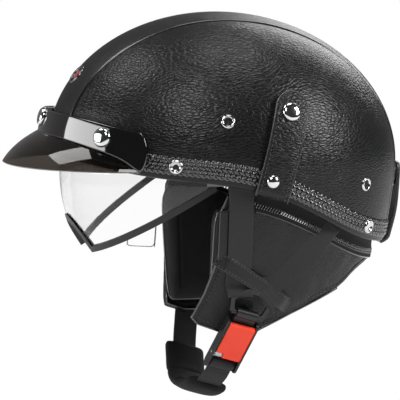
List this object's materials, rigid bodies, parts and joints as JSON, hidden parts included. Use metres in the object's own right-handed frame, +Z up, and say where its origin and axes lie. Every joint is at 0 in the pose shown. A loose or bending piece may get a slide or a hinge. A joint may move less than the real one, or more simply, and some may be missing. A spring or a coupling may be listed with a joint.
{
  "type": "half shell motorcycle helmet",
  "caption": "Leather-covered half shell riding helmet with a smoked peak held by press snaps, drop-down inner lens, zipped ear and neck cover and quick-release chin strap.",
  "frame": {"origin": "centre of the dome's widest line, inside the head cavity, where the wearer's head holds it", "axes": "+Z up, front towards -Y, wearer's left towards +X"},
  "size_m": [0.2424, 0.323, 0.3068],
  "materials": {
    "shell_abs": "satin moulded shell",
    "leather": "grained leather, semi-matt",
    "leather_smooth": "smooth leather, semi-gloss",
    "braid": "braided leather",
    "piping_cord": "glossy corded seam",
    "foam": "matt impact foam",
    "lining": "quilted knit lining",
    "chrome_trim": "polished plating",
    "badge_red": "gloss enamel, plain",
    "peak_smoke": "smoked clear plastic",
    "band_black": "gloss black",
    "clear_plastic": "clear plastic",
    "edging_rubber": "black rubber",
    "steel": "brushed",
    "cord_fabric": "woven polyester webbing",
    "zip_metal": "dull metal teeth",
    "buckle_black": "black painted frame",
    "lever_red": "red plastic",
    "pad_cloth": "padded knit cloth"
  },
  "bodies": {
    "helmet_body": {"front_strap_left": "cord_fabric", "front_strap_right": "cord_fabric", "rear_strap_left": "cord_fabric", "rear_strap_right": "cord_fabric", "zip_tape_upper": "cord_fabric", "zip_tape_lower": "cord_fabric", "strap_keeper_left": "leather", "strap_keeper_right": "leather", "ear_flap_left": "leather", "ear_flap_right": "leather", "neck_curtain": "leather", "side_tab_foot_left": "leather", "side_tab_foot_right": "leather", "rear_tab_foot": "leather", "cover_panel_left": "leather", "cover_panel_right": "leather", "cover_strip": "leather_smooth", "edge_binding": "leather_smooth", "piping": "piping_cord", "braid_trim": "braid", "strap_ring_left": "chrome_trim", "strap_ring_right": "chrome_trim", "strap_rivets": "chrome_trim", "braid_rivets": "chrome_trim", "tab_rivets": "chrome_trim", "badge_rim": "chrome_trim", "tab_studs": "steel", "lens_bracket_left": "steel", "lens_bracket_right": "steel", "lens_pivot_screws": "steel", "buckle_tongue": "buckle_black", "badge_face": "badge_red", "cheek_pad_left": "pad_cloth", "cheek_pad_right": "pad_cloth", "zip_teeth": "zip_metal", "peak_band": "band_black", "peak_snap_posts": "band_black", "peak_snap_caps": "band_black", "peak": "peak_smoke", "shell": "shell_abs", "foam_liner": "foam", "comfort_liner": "lining"},
    "lens_body": {"lens": "clear_plastic", "lens_edging": "edging_rubber"},
    "side_tab_left_body": {"side_tab_left": "leather", "side_tab_snap_left": "chrome_trim"},
    "side_tab_right_body": {"side_tab_right": "leather", "side_tab_snap_right": "chrome_trim"},
    "rear_tab_body": {"rear_tab": "leather", "rear_tab_snap": "chrome_trim"},
    "chin_strap_body": {"chin_webbing": "cord_fabric", "webbing_roll": "cord_fabric", "chin_pad": "pad_cloth", "buckle_frame": "buckle_black", "buckle_pin": "chrome_trim", "lever_spring": "steel"},
    "lever_body": {"buckle_lever": "lever_red"},
    "slider_body": {"zip_slider": "zip_metal"},
    "pull_body": {"zip_pull": "zip_metal"}
  },
  "joints": [
    {"name": "lens_drop", "type": "hinge", "parent": "helmet_body", "child": "lens_body", "pos_m": [0, -0.012, -0.014], "axis": [-1, 0, 0], "range_deg": [0, 36]},
    {"name": "tab_left_fold", "type": "hinge", "parent": "helmet_body", "child": "side_tab_left_body", "pos_m": [0.11831, 0.0193, -0.002], "axis": [-0.1088, 0.9584, -0.2638], "range_deg": [0, 60]},
    {"name": "tab_right_fold", "type": "hinge", "parent": "helmet_body", "child": "side_tab_right_body", "pos_m": [-0.11831, 0.0193, -0.002], "axis": [-0.1088, -0.9584, 0.2638], "range_deg": [0, 60]},
    {"name": "rear_tab_fold", "type": "hinge", "parent": "helmet_body", "child": "rear_tab_body", "pos_m": [0, 0.13724, -0.056], "axis": [-1, 0, 0], "range_deg": [0, 60]},
    {"name": "chin_strap_swing", "type": "hinge", "parent": "helmet_body", "child": "chin_strap_body", "pos_m": [-0.08572, -0.00951, -0.11988], "axis": [-0.0568, 0.9563, -0.2869], "range_deg": [0, 35]},
    {"name": "lever_release", "type": "hinge", "parent": "chin_strap_body", "child": "lever_body", "pos_m": [0.06649, -0.01075, -0.15417], "axis": [-0.0568, 0.9563, -0.2869], "range_deg": [0, 40], "stiffness_Nm_per_rad": 0.05},
    {"name": "zip_run", "type": "slide", "parent": "helmet_body", "child": "slider_body", "axis": [0.1467, 0.9271, -0.3449], "range_m": [0, 0.018]},
    {"name": "pull_swing", "type": "hinge", "parent": "slider_body", "child": "pull_body", "pos_m": [-0.10751, 0.01249, -0.03441], "axis": [0.1467, 0.9271, -0.3449], "range_deg": [0, 80]}
  ]
}
